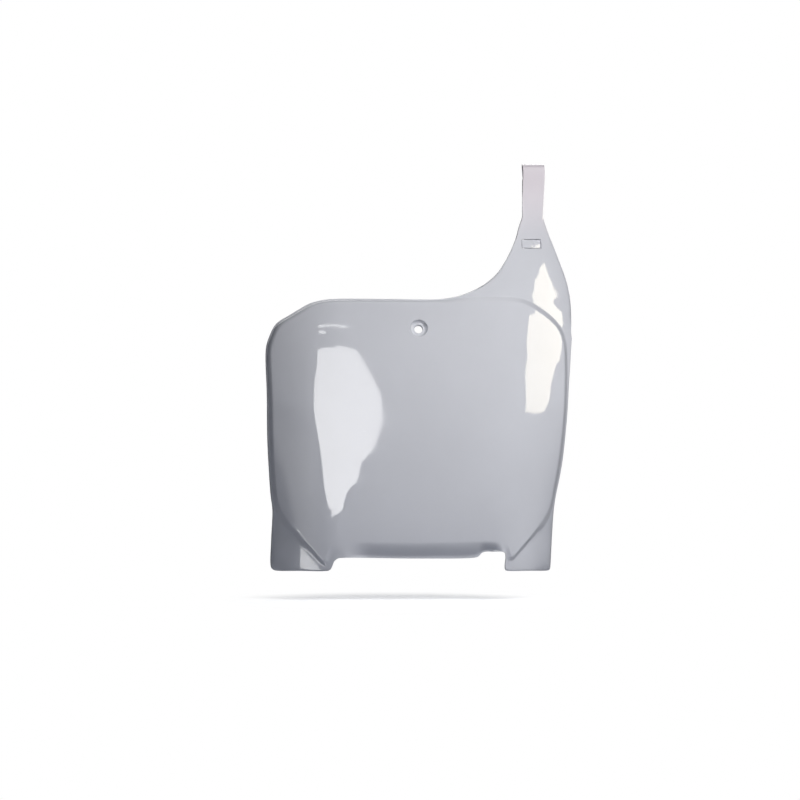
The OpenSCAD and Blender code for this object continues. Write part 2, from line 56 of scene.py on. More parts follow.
# The photograph is taken a little from the left, level with the board; lengths in metres
VIEW_TURN = math.radians(6.5)
VIEW_AIM = Vector((-14.8, 0, -56.0)) * MM
VIEW_AWAY, VIEW_END = 24.0, 100
FRAME_WIDTH = 0.632
SENSOR_WIDTH = 36


def make_camera():
    data = bpy.data.cameras.new("photo_camera")
    data.sensor_width = SENSOR_WIDTH
    data.lens = SENSOR_WIDTH * VIEW_AWAY / FRAME_WIDTH
    data.clip_end = VIEW_END
    camera = bpy.data.objects.new("photo_camera", data)
    bpy.context.collection.objects.link(camera)
    look = Vector((math.sin(VIEW_TURN), math.cos(VIEW_TURN), 0))
    camera.location = VIEW_AIM - look * VIEW_AWAY
    camera.rotation_euler = look.to_track_quat("-Z", "Y").to_euler()
    bpy.context.scene.camera = camera


def srgb(red, green, blue):
    def linear(v):
        v /= 255
        return v / 12.92 if v <= 0.04045 else ((v + 0.055) / 1.055) ** 2.4
    return (linear(red), linear(green), linear(blue), 1)


def cleared_tree(owner):
    """Empty node tree of a new material or world."""
    owner.use_nodes = True
    owner.node_tree.nodes.clear()
    return owner.node_tree


def add_node(tree, kind, **presets):
    """New node with its named inputs set."""
    node = tree.nodes.new(kind)
    for name, value in presets.items():
        node.inputs[name].default_value = value
    return node


def wire(tree, *pairs):
    for source, target in pairs:
        tree.links.new(source, target)


class Finish:
    """A moulded finish: nodes that read the object's own coordinates, wired to one shader."""

    def __init__(self, name):
        self.material = bpy.data.materials.new(name)
        self.material.use_nodes = True
        self.tree = self.material.node_tree
        self.shader = self.tree.nodes["Principled BSDF"]
        self.spot = self.tree.nodes.new("ShaderNodeTexCoord")

    def link(self, source, target):
        self.tree.links.new(source, target)

    def stretched(self, scale, turn=(0, 0, 0)):
        node = self.tree.nodes.new("ShaderNodeMapping")
        node.inputs["Scale"].default_value = scale
        node.inputs["Rotation"].default_value = turn
        self.link(self.spot.outputs["Object"], node.inputs["Vector"])
        return node.outputs[0]

    def noise(self, scale, detail=2.0, roughness=0.5, vector=None):
        node = self.tree.nodes.new("ShaderNodeTexNoise")
        node.inputs["Scale"].default_value = scale
        node.inputs["Detail"].default_value = detail
        node.inputs["Roughness"].default_value = roughness
        self.link(vector or self.spot.outputs["Object"], node.inputs["Vector"])
        return node.outputs[0]

    def spread(self, value, low, high, to_low=0.0, to_high=1.0, soft=False):
        node = self.tree.nodes.new("ShaderNodeMapRange")
        node.interpolation_type = "SMOOTHSTEP" if soft else "LINEAR"
        for socket, number in zip(("From Min", "From Max", "To Min", "To Max"),
                                  (low, high, to_low, to_high)):
            node.inputs[socket].default_value = number
        self.link(value, node.inputs["Value"])
        return node.outputs[0]

    def maths(self, how, first, second):
        node = self.tree.nodes.new("ShaderNodeMath")
        node.operation = how
        for socket, value in zip(node.inputs, (first, second)):
            if isinstance(value, (int, float)):
                socket.default_value = value
            else:
                self.link(value, socket)
        return node.outputs[0]

    def tint(self, share, first, second):
        node = self.tree.nodes.new("ShaderNodeMix")
        node.data_type = "RGBA"
        self.link(share, node.inputs["Factor"])
        for socket, colour in (("A", first), ("B", second)):
            target = [i for i in node.inputs if i.name == socket and i.type == "RGBA"][0]
            if isinstance(colour, tuple):
                target.default_value = colour
            else:
                self.link(colour, target)
        return [o for o in node.outputs if o.type == "RGBA"][0]

    def bump(self, height, strength, distance, onto=None):
        node = self.tree.nodes.new("ShaderNodeBump")
        node.inputs["Strength"].default_value = strength
        node.inputs["Distance"].default_value = distance
        self.link(height, node.inputs["Height"])
        if onto is not None:
            self.link(onto, node.inputs["Normal"])
        return node.outputs[0]


def gloss_white():
    """Polished white plastic: cloudy tone, strap painted lighter and pinker as painted light, faint
    orange peel, hairlines, satin behind.
    """
    f = Finish("gloss_white_plastic")
    f.shader.inputs["IOR"].default_value = 1.6
    split = f.tree.nodes.new("ShaderNodeSeparateXYZ")
    f.link(f.spot.outputs["Object"], split.inputs[0])
    facing = f.tree.nodes.new("ShaderNodeSeparateXYZ")
    f.link(f.spot.outputs["Normal"], facing.inputs[0])

    # tone: cloudy melt and fine flecks, with painted light: the strap painted lighter and pinker
    # towards its top, standing in for its brighter light and a pink reflection
    cloud = f.spread(f.noise(11.0, 4.0, 0.55), 0.35, 0.65)
    tone = f.tint(cloud, srgb(214, 215, 221), srgb(218, 219, 225))
    # painted light and painted reflection: from 6 cm up to 12 cm up the tone turns lighter and
    # pinker
    painted_strap_light = f.spread(split.outputs["Z"], 0.06, 0.12, soft=True)
    tone = f.tint(painted_strap_light, tone, srgb(233, 225, 231))
    flecks = f.spread(f.noise(900.0, 2.0), 0.66, 0.78, 0.0, 0.3)
    tone = f.tint(flecks, tone, srgb(204, 206, 213))
    f.link(tone, f.shader.inputs["Base Color"])

    # hairlines from handling: thin stretched streaks in two directions
    one = f.spread(f.noise(1.0, 2.0, 0.6, f.stretched((900, 60, 26), (0, 0.55, 0))), 0.68, 0.74)
    two = f.spread(f.noise(1.0, 2.0, 0.6, f.stretched((30, 60, 1100), (0, 0.3, 0))), 0.69, 0.75)
    here = f.spread(f.noise(9.0, 2.0), 0.5, 0.62, soft=True)
    hair = f.maths("MULTIPLY", f.maths("MAXIMUM", one, two), here)

    # gloss: polished in front with rubbed patches, satin behind
    behind = f.spread(facing.outputs["Y"], 0.0, 0.35, soft=True)
    rubbed = f.spread(f.noise(45.0, 4.0, 0.6), 0.4, 0.75, 0.035, 0.075)
    rough = f.maths("ADD", rubbed, f.maths("MULTIPLY", hair, 0.22))
    rough = f.maths("ADD", rough, f.maths("MULTIPLY", behind, 0.2))
    f.link(rough, f.shader.inputs["Roughness"])

    # relief: slow sink of the wall, orange peel, hairlines
    sink = f.bump(f.noise(22.0, 1.0), 0.35, 0.0003)
    peel = f.bump(f.noise(420.0, 3.0, 0.5), 0.05, 0.00006, sink)
    f.link(f.bump(hair, 0.12, 0.00002, peel), f.shader.inputs["Normal"])
    return f.material


def direction(azimuth, elevation):
    """Unit vector towards a point seen from the board: azimuth to its right of straight ahead."""
    a, e = math.radians(azimuth), math.radians(elevation)
    return Vector((math.sin(a) * math.cos(e), -math.cos(a) * math.cos(e), math.sin(e)))


# Distances from the board in metres: lamps, reflectors' cloths and the studio's screens
LAMP_AWAY, CLOTH_AWAY, SCREENS_AWAY = 2.6, 2.5, 3.2

# Corners of the cloths that the gloss shows, each (azimuth, elevation) in degrees
LEFT_SOFTBOX = [
    (-34.2, 22.5), (-5, 25.8), (-4.3, 22.9), (-3.4, 19.3), (-2, 14.6), (-0.6, 8.8), (-0.4, 2.1),
    (-0.5, -1.9), (-1.9, -11.5), (-5.1, -18.7), (-5.8, -23.8), (-11, -26.7), (-13.3, -29.1),
    (-12.7, -31.7), (-24.8, -32.6), (-31.3, -29.9), (-36.8, -24.4), (-37.7, -8.9), (-38.7, -3.6),
    (-37.6, 4.8), (-37.1, 12), (-35.1, 17)]
LEFT_BAR = [(-35.9, 30.4), (-6.6, 33.4), (-6.6, 34.2), (-35.9, 31.2)]
LEFT_SHORT_BAR = [(-35.8, 28.5), (-27.2, 29.7), (-27.2, 30.6), (-35.8, 29.4)]
RIGHT_SOFTBOX = [
    (52.2, -0.7), (52.5, 13.7), (54.6, 16), (65.2, 27.4), (71.7, 26.1), (74.5, 27.5),
    (77.8, 31.2), (83.2, 31.3), (87.4, 30.5), (90, 24.2), (90.9, 21.6), (91.9, 20.9),
    (96.3, 17.8), (95, 15.6), (88, 10.7), (85.5, 10.6), (79.6, 6.8), (75.1, -4.4)]
LOW_SOFTBOX = [(-83, -28.3), (-80.4, -29.5), (-76, -32.5), (-71.2, -35.8), (-65.7, -39.5),
               (-59.3, -43.2), (-59.3, -56), (-83, -56)]
REAR_SOFTBOX = [(166, 10), (214, 10), (214, 48), (166, 48)]
# A small cloth close to the strap's root, its corners in metres
STRAP_FLAG = [(0.1836, 0.0506, 0.1134), (0.1782, 0.0220, 0.1134),
              (0.1697, 0.0236, 0.1288), (0.1751, 0.0523, 0.1288)]


def soft_key(name, azimuth, elevation, size, power):
    """Round soft lamp that lights the board and leaves no shine of its own."""
    data = bpy.data.lights.new(name, "AREA")
    data.shape = "DISK"
    data.size = size
    data.energy = power
    lamp = bpy.data.objects.new(name, data)
    bpy.context.collection.objects.link(lamp)
    way = direction(azimuth, elevation)
    lamp.location = way * LAMP_AWAY
    lamp.rotation_euler = (-way).to_track_quat("-Z", "Y").to_euler()
    lamp.visible_glossy = False


def glow(name, colour, strength, slope=(0, 0, 0)):
    """Light of a cloth; with a slope it is brighter towards one side."""
    material = bpy.data.materials.new(name)
    tree = cleared_tree(material)
    spot = add_node(tree, "ShaderNodeTexCoord")
    tilt = add_node(tree, "ShaderNodeVectorMath")
    tilt.operation = "DOT_PRODUCT"
    tilt.inputs[1].default_value = slope
    total = add_node(tree, "ShaderNodeMath")
    total.inputs[1].default_value = strength
    lit = add_node(tree, "ShaderNodeEmission", Color=colour)
    out = add_node(tree, "ShaderNodeOutputMaterial")
    wire(tree, (spot.outputs["Object"], tilt.inputs[0]), (tilt.outputs["Value"], total.inputs[0]),
         (total.outputs[0], lit.inputs["Strength"]), (lit.outputs[0], out.inputs["Surface"]))
    return material


def hang(name, bm, material):
    """Cloth that is seen in the gloss alone and neither lights nor shades the board."""
    mesh = bpy.data.meshes.new(name)
    bm.to_mesh(mesh)
    bm.free()
    mesh.materials.append(material)
    cloth = bpy.data.objects.new(name, mesh)
    bpy.context.collection.objects.link(cloth)
    cloth.visible_camera = cloth.visible_diffuse = cloth.visible_shadow = False
    cloth.visible_transmission = cloth.visible_volume_scatter = False


def flat_cloth(name, corners, material):
    bm = bmesh.new()
    bm.faces.new([bm.verts.new(corner) for corner in corners])
    hang(name, bm, material)


def reflector(name, corners, material):
    """Flat cloth whose corners are seen from the board at (azimuth, elevation)."""
    flat_cloth(name, [direction(a, e) * CLOTH_AWAY for a, e in corners], material)


def surround():
    """Studio round the board as the gloss sees it: dark to the left and behind, pale to the
    right, above and low on the left."""
    f = Finish("studio_screens")
    f.tree.nodes.remove(f.shader)
    split = f.tree.nodes.new("ShaderNodeSeparateXYZ")
    f.link(f.stretched((1 / SCREENS_AWAY,) * 3), split.inputs[0])
    x, y, z = split.outputs
    right = f.spread(x, -0.25, 0.4, 0.12, 1.0, soft=True)
    low = f.maths("MULTIPLY", f.spread(z, -0.04, -0.3, 0, 1.0, soft=True),
                  f.maths("MULTIPLY", f.spread(x, -0.5, -0.85, soft=True),
                          f.spread(y, 0.0, -0.18, soft=True)))
    above = f.spread(z, 0.7, 0.78, 0, 0.5, soft=True)
    below = f.spread(z, -0.5, -0.9, 1, 0.2, soft=True)
    shine = f.maths("ADD", f.maths("MAXIMUM", f.maths("MULTIPLY", right, below), low), above)
    front = f.spread(y, 0.38, -0.06, 0.04, 1.0, soft=True)
    lit = f.tree.nodes.new("ShaderNodeEmission")
    f.link(f.maths("MULTIPLY", shine, front), lit.inputs["Strength"])
    f.link(lit.outputs[0], f.tree.nodes["Material Output"].inputs["Surface"])
    bm = bmesh.new()
    bmesh.ops.create_uvsphere(bm, u_segments=48, v_segments=24, radius=SCREENS_AWAY)
    hang("studio_screens", bm, f.material)


def make_lights():
    soft_key("key", 29, 31, 1.3, 54.5)
    soft_key("left_fill", -60, 0, 1.2, 4)
    soft_key("rear_fill", 180, 4, 1.2, 38)
    left = glow("left_cloth", (1, 0.99, 0.98, 1), 6.2, (-0.6, 0, -0.9))
    reflector("left_softbox", LEFT_SOFTBOX, left)
    reflector("left_bar", LEFT_BAR, left)
    reflector("left_short_bar", LEFT_SHORT_BAR, left)
    reflector("right_softbox", RIGHT_SOFTBOX, glow("right_cloth", (1, 0.93, 0.77, 1), 7.2))
    flat_cloth("strap_flag", STRAP_FLAG, glow("strap_flag", WHITE, 0.9))
    reflector("low_softbox", LOW_SOFTBOX, glow("low_cloth", WHITE, 5.6))
    reflector("rear_softbox", REAR_SOFTBOX, glow("rear_cloth", WHITE, 2.2))
    surround()


def white_to_camera(tree, shader):
    """Picks the shader's second input wherever it is seen straight, by gloss or through glass."""
    rays = add_node(tree, "ShaderNodeLightPath")
    seen = rays.outputs["Is Camera Ray"]
    for way in ("Is Glossy Ray", "Is Transmission Ray"):
        either = add_node(tree, "ShaderNodeMath")
        either.operation = "MAXIMUM"
        wire(tree, (seen, either.inputs[0]), (rays.outputs[way], either.inputs[1]))
        seen = either.outputs[0]
    wire(tree, (seen, shader.inputs["Fac"]))


def make_room():
    world = bpy.data.worlds.new("studio")
    tree = cleared_tree(world)
    soft = add_node(tree, "ShaderNodeBackground", Color=(0.7, 0.8, 1, 1), Strength=0.04)
    white = add_node(tree, "ShaderNodeBackground", Color=WHITE, Strength=1)
    pick = add_node(tree, "ShaderNodeMixShader")
    out = add_node(tree, "ShaderNodeOutputWorld")
    white_to_camera(tree, pick)
    wire(tree, (soft.outputs[0], pick.inputs[1]), (white.outputs[0], pick.inputs[2]),
         (pick.outputs[0], out.inputs["Surface"]))
    bpy.context.scene.world = world


# The round white table, and the patch under the board that keeps the shadow, in metres
FLOOR_AT = Vector((-12, 30, -215)) * MM
FLOOR_TILT = math.radians(3)
FLOOR_R = 0.8
PATCH_X, PATCH_Y, PATCH_CORE = 0.15, 0.13, 0.45


def pale_floor():
    """White table: plain white from afar, and under the board it keeps the board's soft shadow."""
    material = bpy.data.materials.new("white_table")
    tree = cleared_tree(material)
    matt = add_node(tree, "ShaderNodeBsdfDiffuse", Color=(0.92, 0.93, 0.95, 1))
    bounce = add_node(tree, "ShaderNodeBsdfDiffuse", Color=(0.5, 0.52, 0.57, 1))
    lift = add_node(tree, "ShaderNodeEmission", Strength=0.5)
    both = add_node(tree, "ShaderNodeAddShader")
    white = add_node(tree, "ShaderNodeEmission", Strength=1)
    spot = add_node(tree, "ShaderNodeTexCoord")
    stretch = add_node(tree, "ShaderNodeMapping", Scale=(1 / PATCH_X, 1 / PATCH_Y, 0))
    away = add_node(tree, "ShaderNodeVectorMath")
    away.operation = "LENGTH"
    fade = add_node(tree, "ShaderNodeMapRange")
    fade.interpolation_type = "SMOOTHSTEP"
    fade.inputs["From Min"].default_value = PATCH_CORE
    near = add_node(tree, "ShaderNodeMixShader")
    pick = add_node(tree, "ShaderNodeMixShader")
    out = add_node(tree, "ShaderNodeOutputMaterial")
    white_to_camera(tree, pick)
    wire(tree, (spot.outputs["Object"], stretch.inputs["Vector"]),
         (stretch.outputs[0], away.inputs[0]), (away.outputs["Value"], fade.inputs["Value"]),
         (fade.outputs[0], near.inputs["Fac"]), (matt.outputs[0], both.inputs[0]),
         (lift.outputs[0], both.inputs[1]), (both.outputs[0], near.inputs[1]),
         (white.outputs[0], near.inputs[2]), (bounce.outputs[0], pick.inputs[1]),
         (near.outputs[0], pick.inputs[2]), (pick.outputs[0], out.inputs["Surface"]))
    return material


def make_floor():
    bm = bmesh.new()
    bmesh.ops.create_circle(bm, cap_ends=True, segments=96, radius=FLOOR_R)
    mesh = bpy.data.meshes.new("floor")
    bm.to_mesh(mesh)
    bm.free()
    mesh.materials.append(pale_floor())
    floor = bpy.data.objects.new("floor", mesh)
    floor.location = FLOOR_AT
    floor.rotation_euler.x = FLOOR_TILT
    floor.visible_glossy = False
    bpy.context.collection.objects.link(floor)


# Sizes of the moulding in millimetres
# Heights and depths are from the fixing hole's centre on the face
SIDE_X, FLANK_X, TOP_Z = 118, 126, 23
FOOT_Z, LIP_RISE, WING_Z = 192, 10.4, 144
FOOT_X, FOOT_IN_X, RELIEF_H = 112, 69, 4.8
CORNER_W, CORNER_H, NECK_X, WALL = 52, 39, 20, 2.4
BARREL_R, CROWN_Z, FACE_R = 250, 75, 555
WRAP_X, WRAP_R_TOP, WRAP_R_FOOT, NECK_SLOPE = 62, 83, 43.5, 0.42
STEP_H, STEP_W, RIM_W, LIP_H, RIM_H = 4, 3.4, 4, 12.6, 3.6
EDGE_R, WALL_EDGE_R = 0.8, 0.7
STRAP_W, STRAP_X, STRAP_TILT, STRAP_Z, STRAP_TOP_Z, STRAP_T = 17.2, 99, 0.045, 88, 130, 2.6
LOOP_D, TAIL_W, TAIL_PAST, TAIL_GAP = 12.8, 14, 9.8, 1
WINDOW_W, WINDOW_H, WINDOW_OFF, WINDOW_DROP = 16.6, 7.4, 4.2, 21.2
PEG_W, PEG_CLEAR, PEG_LOOSE, PEG_EDGE_R, PEG_IN_TAIL = 10, 0.25, 0.1, 0.3, 1.4
PEG_INSET, SHOULDER_INSET = 0.45, 1.1
HOLE_D, SEAT_LEDGE, SEAT_FLARE, SEAT_DEPTH = 6.6, 1.9, 1.7, 3
SEAT_FLOOR_T, BOSS_WALL, BOSS_EDGE_R = 2.6, 2.4, 0.6
CORE_TOP_Z, FLANK_Z = TOP_Z - 31, TOP_Z - 26

WINDOW_X = STRAP_X - WINDOW_OFF
WINDOW_Z = STRAP_Z - WINDOW_DROP
TAIL_Z = WINDOW_Z - TAIL_PAST
SLOPE_Z = NECK_SLOPE * BARREL_R - CROWN_Z
LEAN = math.atan(NECK_SLOPE)
LOOP_R = LOOP_D / 2
BEND_R = LOOP_R + STRAP_T
BEND_Z = STRAP_TOP_Z - BEND_R * (1 - math.sin(LEAN))
LEAVE_Z = BEND_Z - (BEND_R + LOOP_R) * math.sin(LEAN)

# Sways of the neck backward: how far, from which height and over what height
NECK_SWAYS = ((2.8, 41, 49), (-1, 20, 21), (-1.8, 90, 30))
# The sides wrap tightly up to the first height and widely from the second on
TIGHT_Z, WIDE_Z = 27 - FOOT_Z, 15 - CROWN_Z
# The face loses its wrap from this far above the window on, the neck's last tilt from NECK_Z on
LEVEL_UP, LEVEL_RUN = 6, 24
NECK_Z, STRAP_LEVEL_Z, STRAP_LEVEL_RUN = 62, 70, 50
# The strap leans to the right towards its top; its outermost columns are this wide
STRAP_SWAY, STRAP_SWAY_Z, STRAP_SWAY_RUN, OUTER_COL_W = 0.9, 90, 38, 0.85


def clamp(v):
    return min(max(v, 0.0), 1.0)


def mix(a, b, t):
    return a + (b - a) * t


def smooth(v):
    t = clamp(v)
    return t * t * (3 - 2 * t)


def rounding(t, share):
    """How far a round edge falls back at t of its width, for a share of a quarter circle."""
    return 1 - math.sqrt(1 - share * t * t)


# The face: its depth from top to bottom, and its wrap from side to side
def crown_y(z):
    return ((z + CROWN_Z) ** 2 - CROWN_Z ** 2) / (2 * BARREL_R)


def lean_y(z):
    leaned = crown_y(z) if z < SLOPE_Z else crown_y(SLOPE_Z) + (z - SLOPE_Z) * NECK_SLOPE
    return leaned + sum(far * smooth((z - start) / run) for far, start, run in NECK_SWAYS)


def wrap_y(x, z):
    up = clamp((z - TIGHT_Z) / (WIDE_Z - TIGHT_Z))
    pull = mix(1 / WRAP_R_FOOT, 1 / WRAP_R_TOP, up) / 2
    return x * x / (2 * FACE_R) + pull * max(abs(x) - WRAP_X, 0) ** 2


def face_y(x, z):
    level = smooth((z - WINDOW_Z - LEVEL_UP) / LEVEL_RUN)
    return lean_y(z) + mix(wrap_y(x, z), wrap_y(STRAP_X, z), level)


def face_slopes(x, z):
    """How far the face falls back in a millimetre to the right and in a millimetre up."""
    return (face_y(x + 0.5, z) - face_y(x - 0.5, z), face_y(x, z + 0.5) - face_y(x, z - 0.5))


def depth(x, z, thickness):
    """Straight back distance through a wall of a thickness."""
    to_right, up = face_slopes(x, z)
    return thickness * math.sqrt(1 + to_right * to_right + up * up)


# Outline curves
def bow(a, b, c, d, t):
    """Place at t of the way from b to c on a smooth curve through all four points."""
    u, v, w = (max(math.sqrt((q - p).length), 0.01) for p, q in ((a, b), (b, c), (c, d)))
    e = c - b
    m = (b - a) * (v / u) - (c - a) * (v / (u + v)) + e
    n = e - (d - b) * (v / (v + w)) + (d - c) * (v / w)
    return b + t * (m + t * (3 * e - 2 * m - n + t * (m + n - 2 * e)))


def curve(points, before, after, fine=24):
    """Fine line through the points, heading in from one point and on to another."""
    last = len(points) - 1
    line = []
    for i in range(last):
        a = before if i == 0 else points[i - 1]
        d = after if i == last - 1 else points[i + 2]
        line += [bow(a, points[i], points[i + 1], d, s / fine) for s in range(fine)]
    return line + [points[last]]


def spaced(line, count, closed_end=False):
    """Evenly spaced places along a fine line, with its end or without."""
    run = [0.0]
    for a, b in zip(line, line[1:]):
        run.append(run[-1] + (b - a).length)
    spots, k = [], 0
    for i in range(count + closed_end):
        want = run[-1] * i / count
        while k < len(run) - 2 and run[k + 1] < want:
            k += 1
        spots.append(line[k].lerp(line[k + 1], (want - run[k]) / max(run[k + 1] - run[k], 1e-9)))
    return spots


def within(a, b, shares):
    """Points given as shares of the way across and up from a to b."""
    return [Vector((mix(a[0], b[0], p), mix(a[1], b[1], q))) for p, q in shares]


def flat_points(*points):
    return [Vector(p) for p in points]


NECK_COLS = 48


def outline_stretches():
    """Each stretch: samples, core, field edge, outer edge, set-back and roundness at its ends."""
    side_l, rim_l, field_r = -SIDE_X, RIM_W - SIDE_X, FLANK_X - 7.7
    field_top, foot, wing = TOP_Z - RIM_W, -FOOT_Z, -WING_Z
    lip = foot + LIP_RISE
    field_lip = lip + LIP_H
    corner_z, flank_z = TOP_Z - CORNER_H, FLANK_Z
    field_corner = rim_l + CORNER_W - RIM_W
    ridge_x, ridge_z = FOOT_X - 5.5, wing + 1.5
    tip_x, tip_z = FOOT_IN_X + 8, foot + 12.4
    core_x, core_top, core_foot = side_l + 32, CORE_TOP_Z, wing - 6
    ridge = [(0, 0), (0.244, 0.32), (0.35, 0.434), (0.44, 0.52), (0.53, 0.6), (0.786, 0.82),
             (0.985, 0.995)]
    relief = lip + RELIEF_H

    def ridge_r(*keys):
        return within((ridge_x, ridge_z), (tip_x, tip_z), [ridge[k] for k in keys])

    def ridge_l(*keys):
        return within((-ridge_x, ridge_z), (-tip_x, tip_z), [ridge[k] for k in keys])

    return [
        (26, flat_points((core_x + 2, wing + 16), (core_x, wing + 44), (core_x, core_top - 17)),
         within((-ridge_x, ridge_z), (rim_l, corner_z - 1),
                [(0, 0), (0.307, 0.06), (0.64, 0.219), (0.92, 0.458), (1, 0.737), (1, 1)]),
         within((0.3 - FOOT_X, wing), (side_l, corner_z),
                [(0, 0), (0.27, 0.086), (0.556, 0.227), (0.889, 0.461), (1, 0.734), (1, 1)]),
         (STEP_H, RIM_H, 0.4, 1)),
        (30, flat_points((core_x, core_top - 17), (core_x + 5, core_top - 7),
                         (core_x + 28, core_top)),
         within((rim_l, corner_z - 1), (field_corner, field_top),
                [(0, 0), (0.054, 0.236), (0.156, 0.5), (0.335, 0.667), (0.51, 0.806),
                 (0.667, 0.922), (0.813, 0.975), (1, 1)]),
         within((side_l, corner_z), (side_l + CORNER_W, TOP_Z),
                [(0, 0), (0.05, 0.231), (0.154, 0.497), (0.346, 0.672), (0.5, 0.8),
                 (0.644, 0.908), (0.808, 0.969), (1, 1)]),
         (RIM_H, RIM_H, 1, 1)),
        (20, flat_points((core_x + 28, core_top), (NECK_X - 4, core_top)),
         flat_points((field_corner, field_top), ((field_corner + NECK_X) / 2, field_top),
                     (NECK_X, field_top)),
         flat_points((side_l + CORNER_W, TOP_Z), ((side_l + CORNER_W + NECK_X) / 2, TOP_Z),
                     (NECK_X, TOP_Z)),
         (RIM_H, RIM_H * 0.6, 1, 1)),
        (NECK_COLS, within((NECK_X - 4, core_top - 20), (FLANK_X - 38, core_top),
                           [(0, 1), (0.61, 1), (0.92, 0.7), (1, 0)]),
         within((NECK_X, corner_z + 2), (field_r, field_top),
                [(0, 1), (0.407, 1.024), (0.59, 1.018), (0.655, 0.991), (0.722, 0.909),
                 (0.806, 0.77), (0.916, 0.521), (0.977, 0.273), (1, 0)]),
         within((NECK_X, flank_z), (FLANK_X, TOP_Z),
                [(0, 1), (0.236, 1.154), (0.472, 1.231), (0.66, 1.135), (0.811, 0.827),
                 (0.925, 0.423), (1, 0)]),
         (RIM_H * 0.6, STEP_H, 0.6, 0)),
        (28, flat_points((FLANK_X - 38, core_top - 20), (FLANK_X - 38, core_top - 52),
                         (FLANK_X - 41, wing + 16)),
         within((ridge_x, ridge_z), (field_r, corner_z + 2),
                [(1, 1), (1.03, 0.89), (0.975, 0.72), (0.83, 0.486), (0.602, 0.3),
                 (0.381, 0.175), (0.195, 0.074), (0, 0)]),
         within((FOOT_X, wing), (FLANK_X, flank_z),
                [(1, 1), (0.943, 0.879), (0.771, 0.681), (0.643, 0.489), (0.464, 0.291),
                 (0.286, 0.177), (0.1, 0.085), (0, 0)]),
         (STEP_H, STEP_H, 0, 0.4)),
        (14, flat_points((FLANK_X - 41, wing + 16), (tip_x + 6, wing + 10)), ridge_r(0, 1, 2),
         flat_points((FOOT_X, wing), (FOOT_X, wing - 16), (FOOT_X, wing - 32), (FOOT_X, foot + 3)),
         (STEP_H, STEP_H, 0.4, 0)),
        (6, flat_points((tip_x + 6, wing + 10), (tip_x + 5, wing + 8)), ridge_r(2, 3),
         flat_points((FOOT_X, foot + 3), (FOOT_X - 0.4, foot + 1.2), (FOOT_X - 1.2, foot + 0.4),
                     (FOOT_X - 3, foot)),
         (STEP_H, STEP_H, 0, 0)),
        (14, flat_points((tip_x + 5, wing + 8), (tip_x, wing - 2)), ridge_r(3, 4, 5, 6),
         flat_points((FOOT_X - 3, foot), ((FOOT_X + FOOT_IN_X) / 2, foot), (FOOT_IN_X + 5, foot)),
         (STEP_H, 2.4, 0, 0)),
        (18, flat_points((tip_x, wing - 2), (tip_x - 2, wing - 5), (FOOT_IN_X - 3, core_foot)),
         flat_points((tip_x + 0.4, tip_z + 0.2), (tip_x - 0.9, tip_z - 0.6),
                     (tip_x - 1.9, tip_z + 1.8), (tip_x - 4.4, field_lip - 2.4),
                     (FOOT_IN_X - 3, field_lip)),
         flat_points((FOOT_IN_X + 5, foot), (FOOT_IN_X + 2.8, foot + 0.6),
                     (FOOT_IN_X + 2, foot + 3), (FOOT_IN_X + 2, relief - 3.4),
                     (FOOT_IN_X + 1.2, relief - 0.9), (FOOT_IN_X - 1, relief)),
         (2.4, 0, 0, 1)),
        (56, flat_points((FOOT_IN_X - 3, core_foot), (0, core_foot), (5 - FOOT_IN_X, core_foot)),
         flat_points((FOOT_IN_X - 3, field_lip), (0, field_lip - 0.4), (9 - FOOT_IN_X, field_lip)),
         flat_points((FOOT_IN_X - 1, relief), (FOOT_IN_X - 8, relief), (FOOT_IN_X - 14, relief),
                     (FOOT_IN_X - 17, relief - 1), (FOOT_IN_X - 19.6, lip + 0.9),
                     (FOOT_IN_X - 23, lip), (0, lip - 0.6), (11 - FOOT_IN_X, lip)),
         (RIM_H * 1.6, RIM_H * 1.6, 1, 1)),
        (18, flat_points((5 - FOOT_IN_X, core_foot), (3 - tip_x, wing - 5), (1 - tip_x, wing - 2)),
         flat_points((9 - FOOT_IN_X, field_lip), (8 - tip_x, field_lip - 2),
                     (4.8 - tip_x, tip_z + 0.6), (3.4 - tip_x, tip_z - 3.8),
                     (1.4 - tip_x, tip_z - 1.9)),
         flat_points((11 - FOOT_IN_X, lip), (6.4 - FOOT_IN_X, lip - 0.5),
                     (3.6 - FOOT_IN_X, lip - 3), (2.2 - FOOT_IN_X, foot + 3.2),
                     (0.8 - FOOT_IN_X, foot + 0.8), (-1.6 - FOOT_IN_X, foot)),
         (0, 2.4, 1, 0)),
        (14, flat_points((1 - tip_x, wing - 2), (-5 - tip_x, wing + 8)),
         flat_points((1.4 - tip_x, tip_z - 1.9)) + ridge_l(5, 4, 3),
         flat_points((-1.6 - FOOT_IN_X, foot), (-(FOOT_X + FOOT_IN_X) / 2, foot),
                     (6 - FOOT_X, foot)),
         (2.4, STEP_H, 0, 0)),
        (8, flat_points((-5 - tip_x, wing + 8), (-6 - tip_x, wing + 10)), ridge_l(3, 2),
         flat_points((6 - FOOT_X, foot), (3.7 - FOOT_X, foot + 0.5), (1.9 - FOOT_X, foot + 1.8),
                     (0.9 - FOOT_X, foot + 5.4)),
         (STEP_H, STEP_H, 0, 0)),
        (14, flat_points((-6 - tip_x, wing + 10), (core_x + 2, wing + 16)), ridge_l(2, 1, 0),
         flat_points((0.9 - FOOT_X, foot + 5.4), (0.6 - FOOT_X, wing - 24), (0.3 - FOOT_X, wing)),
         (STEP_H, STEP_H, 0, 0.4)),
    ]


# Which stretches hold the neck's root and the lower lip
NECK_STRETCH, LIP_STRETCH = 3, 9
